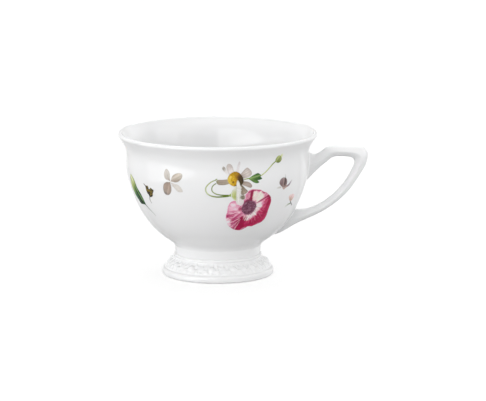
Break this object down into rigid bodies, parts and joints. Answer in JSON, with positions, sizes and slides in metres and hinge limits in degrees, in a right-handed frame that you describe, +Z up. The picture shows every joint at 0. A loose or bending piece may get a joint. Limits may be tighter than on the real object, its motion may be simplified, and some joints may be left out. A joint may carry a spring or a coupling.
{
  "type": "footed teacup",
  "caption": "Footed porcelain teacup with a flared rounded lip, an angular loop handle, a moulded foot band and printed flower sprays; holds hot tea.",
  "frame": {"origin": "on the axis of the cup, in the plane that the foot ring stands on", "axes": "+Z up along the cup's axis; +X from the axis towards the handle; the main flower spray faces -Y"},
  "size_m": [0.1188, 0.0948, 0.0683],
  "materials": {
    "glazed_porcelain": "clear gloss glaze on white porcelain",
    "crimson_print": "fired transfer print, gloss",
    "daisy_print": "fired transfer print, gloss",
    "green_print": "fired transfer print, gloss",
    "violet_print": "fired transfer print, gloss",
    "rose_print": "fired transfer print, gloss",
    "beige_print": "fired transfer print, gloss",
    "olive_print": "fired transfer print, gloss"
  },
  "bodies": {
    "root": {"bowl": "glazed_porcelain", "foot": "glazed_porcelain", "handle": "glazed_porcelain", "anemone_decal": "crimson_print", "daisy_decal": "daisy_print", "tendril_decal": "green_print", "bud_stem_decal": "green_print", "violet_bud_decal": "violet_print", "rosebud_decal": "rose_print", "floret_decal": "beige_print", "sprig_decal": "olive_print", "grass_leaf_decal": "green_print", "back_floret_decal": "beige_print", "back_rosebud_decal": "rose_print", "back_violet_bud_decal": "violet_print", "back_grass_leaf_decal": "green_print"}
  },
  "joints": []
}
